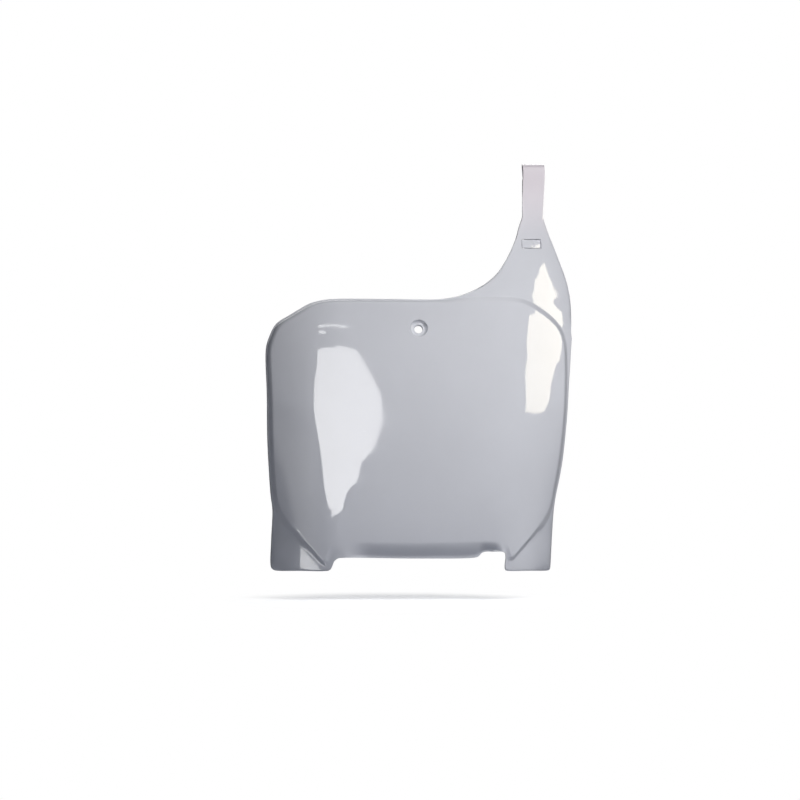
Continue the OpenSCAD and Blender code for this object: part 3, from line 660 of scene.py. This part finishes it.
# The columns in which the lip's rim comes up and goes down again
LIP_IN_COLS, LIP_OUT_COLS = 4, 10
NECK_ROWS, LEG_ROWS, BEND_ROWS, TAIL_ROWS = 30, 14, 36, 30
CORE_SHARES = (0.12, 0.25, 0.4, 0.55, 0.7, 0.85)
FIELD_SHARES = (0, 0.14, 0.28, 0.42, 0.56, 0.7, 0.82, 0.91, 0.96)
STEP_SHARES = (0, 0.09, 0.18, 0.28, 0.38, 0.5, 0.62, 0.74, 0.87, 1)
BASE_SHARES = (0.1, 0.25, 0.5, 0.68, 0.78, 0.86, 0.93, 1)
# Behind the step the wall keeps its thickness by starting its own step a little further out
STEP_SHIFT = 1.4
# Far enough inside the field for the step and the rolled edge to be out of reach
DEEP_INSIDE = -100
# The most that the step takes of the way outward, the rim's share of it, the least slant
STEP_MOST, RIM_SHARE, SLANT_LEAST = 0.8, 0.9, 0.3
# Round edges: how much of a quarter circle a rim and a rolled edge take
RIM_ROUND, ROLL_ROUND = 0.93, 0.9
# Width of the rolled edge along the top, the sides, both feet, the neck's root and the strap
ROLL_TOP, ROLL_SIDE, ROLL_FOOT_LEFT, ROLL_FOOT_RIGHT = 1.6, 2.4, 15, 12
ROLL_NECK, ROLL_STRAP = 3.4, 1.4
# Where it widens towards the feet and the sides, and the columns and rows in which it fades
ROLL_FOOT_Z, ROLL_FOOT_RUN, ROLL_SIDE_X, ROLL_SIDE_RUN = -140, 20, 96, 12
ROLL_FADE_COLS, ROLL_FADE_ROWS = 8, 4
# How steeply it falls back: a narrow one, a wide one on the left and on the right, the neck's
STEEP_NARROW, STEEP_LEFT, STEEP_RIGHT, STEEP_NECK = 0.5, 0.34, 0.55, 0.45
# The width up to which it is a narrow one, and how much more makes it a wide one
STEEP_W, STEEP_RUN = 4, 6


class Outline:
    """The loops of the board: its core, the edge of the number field and the outer edge."""

    def __init__(self):
        stretches = outline_stretches()
        self.core, self.field, self.outer = (self.loop(stretches, layer) for layer in (1, 2, 3))
        self.drop, self.roundness = self.along(stretches, 0), self.along(stretches, 2)
        self.count = len(self.outer)
        self.neck_start = sum(s[0] for s in stretches[:NECK_STRETCH])
        lip_start = sum(s[0] for s in stretches[:LIP_STRETCH])
        lip_cols = stretches[LIP_STRETCH][0]
        for j in range(lip_cols):
            fade = smooth(j / LIP_IN_COLS) * smooth((lip_cols - j) / LIP_OUT_COLS)
            self.drop[lip_start + j] *= fade
        self.roll = [self.roll_width(i) for i in range(self.count)]
        self.slant = [self.slanting(i) for i in range(self.count)]

    @staticmethod
    def loop(stretches, layer):
        spots = []
        for k, stretch in enumerate(stretches):
            before = stretches[k - 1][layer][-2]
            after = stretches[(k + 1) % len(stretches)][layer][1]
            spots += spaced(curve(stretch[layer], before, after), stretch[0])
        return spots

    @staticmethod
    def along(stretches, first):
        return [mix(s[4][first], s[4][first + 1], i / s[0]) for s in stretches for i in range(s[0])]

    def reach(self, i):
        """Way from the field's edge to the outer edge."""
        return (self.outer[i] - self.field[i]).length

    def roll_width(self, i):
        """How far in from the outer edge the wall starts to roll back: most along the feet."""
        if self.neck_start <= i <= self.neck_start + NECK_COLS:
            return 0
        x, z = self.outer[i]
        away = min((self.neck_start - i) % self.count,
                   (i - self.neck_start - NECK_COLS) % self.count)
        foot = ROLL_FOOT_LEFT if x < 0 else ROLL_FOOT_RIGHT
        side = mix(ROLL_SIDE, foot, smooth((ROLL_FOOT_Z - z) / ROLL_FOOT_RUN))
        wide = mix(ROLL_TOP, side, smooth((abs(x) - ROLL_SIDE_X) / ROLL_SIDE_RUN))
        return wide * smooth(away / ROLL_FADE_COLS) * (1 - self.roundness[i])

    def slanting(self, i):
        """Share of the way outward that lies square to the field's edge."""
        along = self.field[(i + 1) % self.count] - self.field[i - 1]
        out = self.outer[i] - self.field[i]
        square = abs(along.x * out.y - along.y * out.x) / max(along.length * out.length, 1e-6)
        return max(square, SLANT_LEAST)

    def width(self, i):
        """Width of the step; where the edge is rounded it takes nearly the whole way outward."""
        room = self.reach(i) - EDGE_R
        return mix(min(STEP_W / self.slant[i], room * STEP_MOST), room,
                   self.roundness[i] * RIM_SHARE)

    def set_back(self, i, d):
        """Fall of the step or the rounded rim at a distance out from the field's edge."""
        t = clamp(d / self.width(i))
        if self.outer[i].y < -WING_Z:
            rim = t * t * (1.6 - 0.6 * t)  # the lower lip turns over evenly
        else:
            rim = rounding(t, RIM_ROUND) / rounding(1, RIM_ROUND)
        return self.drop[i] * mix(smooth(t), rim, self.roundness[i])

    def rolled(self, i, d):
        """Fall of the rolled edge at a distance out from the field's edge."""
        w = self.roll[i]
        if w < 0.01:
            return 0
        t = clamp((d - self.reach(i) + w) / w)
        wide = STEEP_LEFT if self.outer[i].x < 0 else STEEP_RIGHT
        steep = mix(STEEP_NARROW, wide, smooth((w - STEEP_W) / STEEP_RUN))
        return steep * w * rounding(t, ROLL_ROUND)

    def front_and_back(self, spot, i, d):
        x, z = spot
        base = face_y(x, z) + self.rolled(i, d)
        near = base + self.set_back(i, d)
        far = base + depth(x, z, WALL) + self.set_back(i, d + STEP_SHIFT)
        return (x, near, z), (x, far, z)

    def rings(self):
        """Rings from the middle of the field to the outer edge, as pairs of front and back
        places, and the middle's own pair."""
        middle = Vector((0, (CORE_TOP_Z - WING_Z) / 2 - 2))
        columns = range(self.count)
        to_field = [f - c for c, f in zip(self.core, self.field)]
        outward = [(o - f) / (o - f).length for f, o in zip(self.field, self.outer)]
        room = [self.reach(i) - EDGE_R for i in columns]
        rows = [[self.front_and_back(middle.lerp(p, s), 0, DEEP_INSIDE) for p in self.core]
                for s in CORE_SHARES]
        for s in FIELD_SHARES:
            rows.append([self.front_and_back(self.core[i].lerp(self.field[i], s), i,
                                             -(1 - s) * to_field[i].length) for i in columns])

        def ring(ways, distances):
            return [self.front_and_back(self.field[i] + ways[i] * distances[i], i, distances[i])
                    for i in columns]

        rows.append(ring([way.normalized() for way in to_field], [-STEP_SHIFT / 2] * self.count))
        for s in STEP_SHARES:
            rows.append(ring(outward, [s * self.width(i) for i in columns]))
        for s in BASE_SHARES:
            rows.append(ring(outward, [mix(self.width(i), room[i], s) for i in columns]))
        rows.append(ring(outward, [self.reach(i) for i in columns]))
        return rows, self.front_and_back(middle, 0, DEEP_INSIDE)


def strap_mid(z):
    return (STRAP_X + STRAP_TILT * (min(z, BEND_Z) - BEND_Z)
            + STRAP_SWAY * smooth((z - STRAP_SWAY_Z) / STRAP_SWAY_RUN))


def across(j, up):
    """Share of the width at column j: up the neck the outer columns keep room for a round edge."""
    even = j / NECK_COLS
    side = OUTER_COL_W / STRAP_W
    squeezed = side + (j - 1) * (1 - 2 * side) / (NECK_COLS - 2)
    return mix(even, 0 if j == 0 else 1 if j == NECK_COLS else squeezed, up)


def neck_y(x, z):
    """Depth of the face up the neck, where the wall turns level across on its way up the strap."""
    if z <= NECK_Z:
        return face_y(x, z)
    tilt = face_y(x, NECK_Z) - face_y(STRAP_X, NECK_Z)
    return face_y(STRAP_X, z) + tilt * (1 - smooth((z - STRAP_LEVEL_Z) / STRAP_LEVEL_RUN))


def neck_thickness(z):
    return mix(WALL, STRAP_T, smooth((z - WINDOW_Z) / WINDOW_DROP))


def neck_sides():
    """Left and right edge of the neck, row by row from its root to the strap."""
    half = STRAP_W / 2
    left = within((NECK_X, TOP_Z), (strap_mid(STRAP_Z) - half, STRAP_Z),
                  [(0, 0), (0.2, 0.04), (0.43, 0.135), (0.575, 0.234), (0.674, 0.332),
                   (0.741, 0.428), (0.801, 0.526), (0.896, 0.72), (0.953, 0.885), (1, 1)])
    right = within((FLANK_X, FLANK_Z), (strap_mid(STRAP_Z) + half, STRAP_Z),
                   [(0, 0), (-0.04, 0.143), (-0.01, 0.308), (0.127, 0.451), (0.345, 0.589),
                    (0.573, 0.727), (0.815, 0.866), (1, 1)])
    return [spaced(curve(p, 2 * p[0] - p[1], p[-1] + Vector((STRAP_TILT, 1))), NECK_ROWS, True)
            for p in (left, right)]


def neck_rows(outline):
    """Rows up the neck from the board's edge to the strap, as pairs of front and back places."""
    left, right = neck_sides()
    rows = []
    for r in range(1, NECK_ROWS + 1):
        up = r / NECK_ROWS
        wide = mix(ROLL_NECK, ROLL_STRAP, smooth(up)) * smooth(r / ROLL_FADE_ROWS)
        row = []
        for j in range(NECK_COLS + 1):
            i, u = outline.neck_start + j, across(j, up)
            swell = outline.outer[i] - left[0].lerp(right[0], u)
            x, z = left[r].lerp(right[r], u) + swell * (1 - up) ** 2
            root = outline.set_back(i, outline.reach(i))
            from_side = min(u, 1 - u) * (right[r] - left[r]).length
            t = clamp(1 - from_side / max(wide, 0.1))
            near = (neck_y(x, z) + mix(root, STEP_H, smooth(up * 2))
                    + STEEP_NECK * wide * rounding(t, ROLL_ROUND))
            row.append(((x, near, z), (x, near + depth(x, z, neck_thickness(z)), z)))
        rows.append(row)
    return rows


# The strap's own directions, up its front and square to its rear
STRAP_UP = Vector((0, math.sin(LEAN), math.cos(LEAN)))
STRAP_REAR = Vector((0, math.cos(LEAN), -math.sin(LEAN)))
# The strap narrows to its tail over this angle of the bend
TAPER = math.radians(120)
# Up to this far above the window's middle the tail lies close behind the neck
TAIL_FLAT_UP = 8


def strap_rows():
    """Rows up the strap, over the crossbar and down the tail, as pairs of front and back places."""
    columns = range(NECK_COLS + 1)

    def place(j, z, width, middle, near_k, far_k, way):
        x = strap_mid(z) + width * (across(j, 1) - 0.5)
        turn = neck_y(x, z) - neck_y(STRAP_X, z) if near_k == 0 else 0
        spot = Vector((x, middle.y + turn, middle.z))
        return tuple(tuple(spot + k * way) for k in (near_k, far_k))

    def on_face(z):
        return Vector((0, neck_y(STRAP_X, z) + STEP_H, z))

    rows = []
    for r in range(1, LEG_ROWS + 1):
        z = mix(STRAP_Z, BEND_Z, r / LEG_ROWS)
        rows.append([place(j, z, STRAP_W, on_face(z), 0, STRAP_T, STRAP_REAR) for j in columns])
    bend_at = on_face(BEND_Z) + BEND_R * STRAP_REAR
    for r in range(1, BEND_ROWS):
        a = math.pi * r / BEND_ROWS
        width = mix(STRAP_W, TAIL_W, smooth(a / TAPER - 0.5))
        way = math.sin(a) * STRAP_UP - math.cos(a) * STRAP_REAR
        rows.append([place(j, BEND_Z, width, bend_at, BEND_R, LOOP_R, way) for j in columns])
    for r in range(TAIL_ROWS + 1):
        z = mix(LEAVE_Z, TAIL_Z, r / TAIL_ROWS)
        rise = (z - WINDOW_Z - TAIL_FLAT_UP) / (LEAVE_Z - WINDOW_Z - TAIL_FLAT_UP)
        clear = mix(TAIL_GAP, LOOP_D, smooth(rise))
        row = []
        for j in columns:
            x = strap_mid(z) + TAIL_W * (across(j, 1) - 0.5)
            inner = Vector((x, neck_y(x, z) + STEP_H + depth(x, z, neck_thickness(z))
                            + clear / math.cos(LEAN), z))
            row.append((tuple(inner + STRAP_T * STRAP_REAR), tuple(inner)))
        rows.append(row)
    return rows


# The solid's origin lies on the floor of the screw's seat, a seat's depth behind the face
SEAT_TILT = math.atan(face_slopes(0, 0)[1])
SHIFT = Vector((0, -math.cos(SEAT_TILT), math.sin(SEAT_TILT))) * SEAT_DEPTH


def metres(place):
    return (Vector(place) + SHIFT) * MM


def new_of(kind, made):
    """The vertices or the faces among what an extrusion made."""
    return {part for part in made["geom"] if isinstance(part, kind)}


def draw_on(bm, chain, closed, places, keep):
    """Extrudes a chain of vertices to the next row of places; returns the new chain."""
    edges = [e for a, b in zip(chain, chain[1:] + chain[:1] if closed else chain[1:])
             for e in a.link_edges if e.other_vert(a) is b]
    fresh = new_of(bmesh.types.BMVert, bmesh.ops.extrude_edge_only(bm, edges=edges))
    new_chain = []
    for old, (near, far) in zip(chain, places):
        v = next(e.other_vert(old) for e in old.link_edges if e.other_vert(old) in fresh)
        v.co = metres(near)
        v[keep] = metres(far)
        new_chain.append(v)
    return new_chain


def soften(bm, edges, radius):
    """Rounds edges to a radius in millimetres."""
    bmesh.ops.bevel(bm, geom=edges, offset=radius * MM, offset_type="OFFSET", segments=3,
                    profile=0.5, affect="EDGES", clamp_overlap=True, material=-1)


def make_shell():
    """The closed wall: rings of the board first, then rows of the neck and the strap."""
    outline = Outline()
    rings, middle = outline.rings()
    bm = bmesh.new()
    keep = bm.verts.layers.float_vector.new("behind")
    chain = []
    for near, far in rings[0]:
        v = bm.verts.new(metres(near))
        v[keep] = metres(far)
        chain.append(v)
    first_edges = [bm.edges.new((a, b)) for a, b in zip(chain, chain[1:] + chain[:1])]
    cap = bmesh.ops.contextual_create(bm, geom=first_edges)["faces"]
    hub = bmesh.ops.poke(bm, faces=cap)["verts"][0]
    hub.co, hub[keep] = metres(middle[0]), metres(middle[1])
    for row in rings[1:]:
        chain = draw_on(bm, chain, True, row, keep)
    root = chain[outline.neck_start:outline.neck_start + NECK_COLS + 1]
    for row in neck_rows(outline) + strap_rows():
        root = draw_on(bm, root, False, row, keep)

    # The back is the front drawn through the wall's thickness
    front = list(bm.faces)
    made = bmesh.ops.extrude_face_region(bm, geom=front, use_keep_orig=True)
    back_faces = new_of(bmesh.types.BMFace, made)
    for v in new_of(bmesh.types.BMVert, made):
        v.co = v[keep]
    sides = {f for f in bm.faces if f not in back_faces} - set(front)
    bmesh.ops.recalc_face_normals(bm, faces=bm.faces)
    soften(bm, [e for e in bm.edges if sum(f in sides for f in e.link_faces) == 1], WALL_EDGE_R)
    return bm


def as_object(name, bm):
    bmesh.ops.recalc_face_normals(bm, faces=bm.faces)
    mesh = bpy.data.meshes.new(name)
    bm.to_mesh(mesh)
    bm.free()
    obj = bpy.data.objects.new(name, mesh)
    bpy.context.collection.objects.link(obj)
    return obj


def hole_frame():
    """Place of the fixing hole on the face, with its own +Y into the wall."""
    to_right, up = face_slopes(0, 0)
    yaw = math.atan(to_right)
    pitch = -math.atan(up * math.cos(yaw))
    return (Matrix.Translation(metres((0, face_y(0, 0), 0)))
            @ Matrix.Rotation(yaw, 4, "Z") @ Matrix.Rotation(pitch, 4, "X"))


def turned(name, profile, frame_at):
    """Solid of revolution about +Y from a profile of (radius, distance into the wall)."""
    bm = bmesh.new()
    verts = [bm.verts.new((r * MM, y * MM, 0)) for r, y in profile]
    edges = [bm.edges.new((a, b)) for a, b in zip(verts, verts[1:])]
    bmesh.ops.spin(bm, geom=verts + edges, cent=(0, 0, 0), axis=(0, 1, 0), angle=math.tau,
                   steps=96, use_merge=True, use_duplicate=False)
    bmesh.ops.remove_doubles(bm, verts=bm.verts, dist=1e-7)
    bmesh.ops.transform(bm, matrix=frame_at, verts=bm.verts)
    return as_object(name, bm)


CUT_ROOM = 6


def window_cutter():
    """Block that follows the neck, from well in front of it into the gap before the tail."""
    bm = bmesh.new()
    bmesh.ops.create_grid(bm, x_segments=12, y_segments=6, size=0.5)
    for v in bm.verts:
        v.co = (WINDOW_X + v.co.x * WINDOW_W, 0, WINDOW_Z + v.co.y * WINDOW_H)
    made = bmesh.ops.extrude_face_region(bm, geom=list(bm.faces), use_keep_orig=True)
    far = new_of(bmesh.types.BMVert, made)
    for v in bm.verts:
        x, _, z = v.co
        past = depth(x, z, neck_thickness(z)) + TAIL_GAP / 2 if v in far else -CUT_ROOM
        v.co = metres((x, neck_y(x, z) + STEP_H + past, z))
    return as_object("window_cut", bm)


def peg_part(name, spots, inset):
    """Piece in the window from its inset below the face back into the tail."""
    bm = bmesh.new()
    verts = []
    for x, z in spots:
        x, z = WINDOW_X + x, WINDOW_Z + z
        verts.append(bm.verts.new(metres((x, neck_y(x, z) + STEP_H + inset, z))))
    face = bm.faces.new(verts)
    made = bmesh.ops.extrude_face_region(bm, geom=[face], use_keep_orig=True)
    for v in new_of(bmesh.types.BMVert, made):
        v.co.y += (WALL + TAIL_GAP + PEG_IN_TAIL - inset) * MM
    front_edges = list(face.edges)
    bmesh.ops.recalc_face_normals(bm, faces=bm.faces)
    soften(bm, front_edges, PEG_EDGE_R)
    return as_object(name, bm)


def latch_peg():
    """Peg with a round right end, a little smaller than the shoulder it stands on."""
    half = WINDOW_H / 2 - PEG_CLEAR - PEG_LOOSE
    left = PEG_CLEAR + PEG_LOOSE - WINDOW_W / 2
    turn_at = left + PEG_W - half
    steps = 16
    spots = [(left, -half), (turn_at, -half)]
    for k in range(1, steps):
        a = math.pi * k / steps
        spots.append((turn_at + half * math.sin(a), -half * math.cos(a)))
    return peg_part("latch_peg", spots + [(turn_at, half), (left, half)], PEG_INSET)


def latch_shoulder():
    """Block that fills the window behind the peg."""
    half, side = WINDOW_H / 2 - PEG_CLEAR, WINDOW_W / 2 - PEG_CLEAR
    return peg_part("latch_shoulder", [(-side, -half), (side, -half), (side, half), (-side, half)],
                    SHOULDER_INSET)


def arc(centre, radius, start, stop, steps=5):
    return [(centre[0] + radius * math.cos(math.radians(mix(start, stop, k / steps))),
             centre[1] + radius * math.sin(math.radians(mix(start, stop, k / steps))))
            for k in range(steps + 1)]


def join(board, tool, how):
    """Cuts a tool away from the board or adds it, and removes the tool."""
    cut = board.modifiers.new(how.lower(), "BOOLEAN")
    cut.operation, cut.object, cut.solver = how, tool, "EXACT"
    bpy.context.view_layer.update()
    worked = board.evaluated_get(bpy.context.evaluated_depsgraph_get())
    made = bpy.data.meshes.new_from_object(worked)
    board.modifiers.clear()
    old, board.data = board.data, made
    bpy.data.meshes.remove(old)
    bpy.data.objects.remove(tool)


def put_in(board, part):
    """Adds a closed part to the board's mesh."""
    bm = bmesh.new()
    bm.from_mesh(board.data)
    bm.from_mesh(part.data)
    bm.to_mesh(board.data)
    bm.free()
    bpy.data.objects.remove(part)


# Vertices closer than this many metres are one; edges sharper than this angle stay sharp
DOUBLES = 2e-6
SHARP = math.radians(32)


def tidy_mesh(mesh):
    """Merges doubles left by the cuts and keeps every vertex inside the box of the solid."""
    bm = bmesh.new()
    bm.from_mesh(mesh)
    bmesh.ops.remove_doubles(bm, verts=bm.verts, dist=DOUBLES)
    bmesh.ops.dissolve_degenerate(bm, dist=DOUBLES, edges=bm.edges)
    for v in bm.verts:
        v.co = [min(max(c, low), high) for c, low, high in zip(v.co, *cad_box)]
    bm.to_mesh(mesh)
    bm.free()


def screw_boss(boss_r, boss_end, at_hole):
    rim = boss_r - BOSS_EDGE_R, boss_end - BOSS_EDGE_R
    return turned("boss", [(0, 1)] + [(boss_r, 1)] + arc(rim, BOSS_EDGE_R, 0, 90)
                  + [(0, boss_end)], at_hole)


def screw_seat(floor_r, seat_r, boss_end, at_hole):
    """Tool for the dished seat, with a softened mouth and floor, and for the hole through it."""
    hole_r, room = HOLE_D / 2, 4
    return turned("seat", [(0, -room), (seat_r + 3, -room), (seat_r + 0.5, -0.5)]
                  + arc((seat_r + 0.75, 0.45), 0.75, 250, 180, 4)
                  + [(mix(seat_r, floor_r, 0.3), SEAT_DEPTH * 0.55),
                     (mix(seat_r, floor_r, 0.8), SEAT_DEPTH - 0.35), (floor_r - 0.2, SEAT_DEPTH),
                     (hole_r + 0.25, SEAT_DEPTH), (hole_r, SEAT_DEPTH + 0.25),
                     (hole_r, boss_end + room), (0, boss_end + room)], at_hole)


def make_board():
    board = as_object("moulded_board", make_shell())
    floor_r = HOLE_D / 2 + SEAT_LEDGE
    seat_r = floor_r + SEAT_FLARE
    boss_end = SEAT_DEPTH + SEAT_FLOOR_T
    at_hole = hole_frame()
    join(board, screw_boss(seat_r + BOSS_WALL, boss_end, at_hole), "UNION")
    join(board, screw_seat(floor_r, seat_r, boss_end, at_hole), "DIFFERENCE")
    join(board, window_cutter(), "DIFFERENCE")
    put_in(board, latch_shoulder())
    put_in(board, latch_peg())
    tidy_mesh(board.data)
    board.data.shade_smooth()
    board.data.set_sharp_from_angle(angle=SHARP)
    return board


make_camera()
make_lights()
make_room()
make_floor()
bpy.context.scene.view_settings.view_transform = "Standard"

board = make_board()
board.data.materials.append(gloss_white())
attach(board, "root")
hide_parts("number_board")
